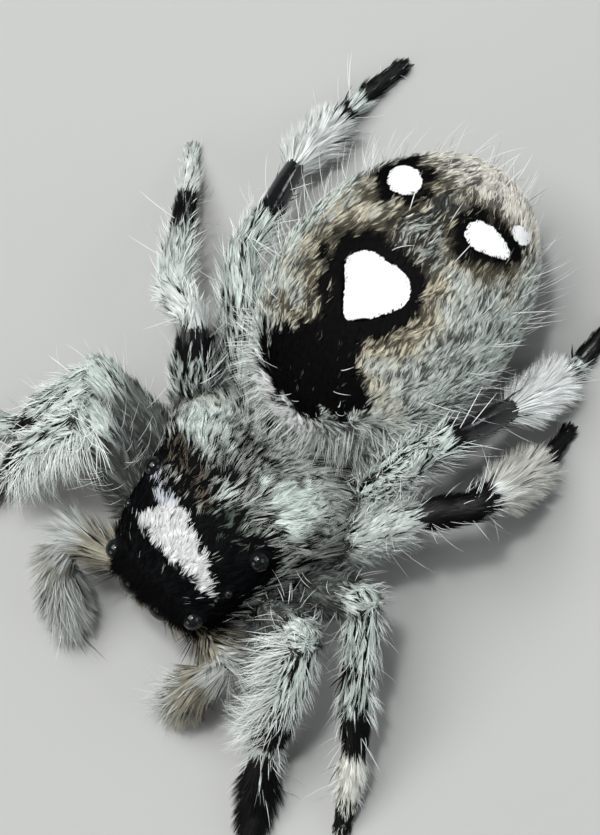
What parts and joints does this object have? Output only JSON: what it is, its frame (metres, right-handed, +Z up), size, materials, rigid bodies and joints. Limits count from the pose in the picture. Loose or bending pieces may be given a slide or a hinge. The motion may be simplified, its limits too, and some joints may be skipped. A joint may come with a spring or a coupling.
{
  "type": "jumping spider",
  "caption": "Life-size jumping spider standing on its feet, with a furry spotted abdomen, a glossy head shield, big front eyes, short palps and hairy legs.",
  "frame": {"origin": "The middle of the spider's box, on the floor that its eight feet stand on.", "axes": "The spider faces -Y, its left side is +X, and +Z is up. The longest extent runs along Y."},
  "size_m": [0.0158, 0.0184, 0.0063],
  "materials": {
    "abdomen_hair": "grey and tan hair with black patches and white spots",
    "pale_leg_hair": "pale grey-green streaky hair over black",
    "black_leg": "glossy black cuticle",
    "black_shield": "glossy blue-black head shield",
    "eye": "wet black eye dome",
    "underside": "dark brown-black underside with grey hair",
    "jaw": "metallic green jaw",
    "palp_hair": "long white hair",
    "fang": "dark red-brown horn"
  },
  "bodies": {
    "root": {"carapace": "black_shield", "eye_front_middle_left": "eye", "eye_front_side_left": "eye", "eye_small_rear_left": "eye", "eye_rear_side_left": "eye", "eye_front_middle_right": "eye", "eye_front_side_right": "eye", "eye_small_rear_right": "eye", "eye_rear_side_right": "eye", "abdomen": "abdomen_hair", "sternum": "underside", "pedicel": "underside", "spinnerets": "underside", "mouth": "underside", "jaw_left": "jaw", "fang_left": "fang", "jaw_right": "jaw", "fang_right": "fang", "palp_left": "palp_hair", "palp_right": "palp_hair", "leg1_left_coxa": "underside", "leg1_left_femur": "pale_leg_hair", "leg1_left_patella": "pale_leg_hair", "leg1_left_tibia": "pale_leg_hair", "leg1_left_foot": "black_leg", "leg2_left_coxa": "underside", "leg2_left_femur": "pale_leg_hair", "leg2_left_patella": "pale_leg_hair", "leg2_left_tibia": "pale_leg_hair", "leg2_left_foot": "black_leg", "leg3_left_coxa": "underside", "leg3_left_femur": "pale_leg_hair", "leg3_left_patella": "pale_leg_hair", "leg3_left_tibia": "black_leg", "leg3_left_foot": "black_leg", "leg4_left_coxa": "underside", "leg4_left_femur": "pale_leg_hair", "leg4_left_patella": "pale_leg_hair", "leg4_left_tibia": "black_leg", "leg4_left_foot": "black_leg", "leg1_right_coxa": "underside", "leg1_right_femur": "pale_leg_hair", "leg1_right_patella": "pale_leg_hair", "leg1_right_tibia": "pale_leg_hair", "leg1_right_foot": "black_leg", "leg2_right_coxa": "underside", "leg2_right_femur": "pale_leg_hair", "leg2_right_patella": "pale_leg_hair", "leg2_right_tibia": "pale_leg_hair", "leg2_right_foot": "black_leg", "leg3_right_coxa": "underside", "leg3_right_femur": "pale_leg_hair", "leg3_right_patella": "pale_leg_hair", "leg3_right_tibia": "black_leg", "leg3_right_foot": "black_leg", "leg4_right_coxa": "underside", "leg4_right_femur": "pale_leg_hair", "leg4_right_patella": "pale_leg_hair", "leg4_right_tibia": "black_leg", "leg4_right_foot": "black_leg"}
  },
  "joints": []
}
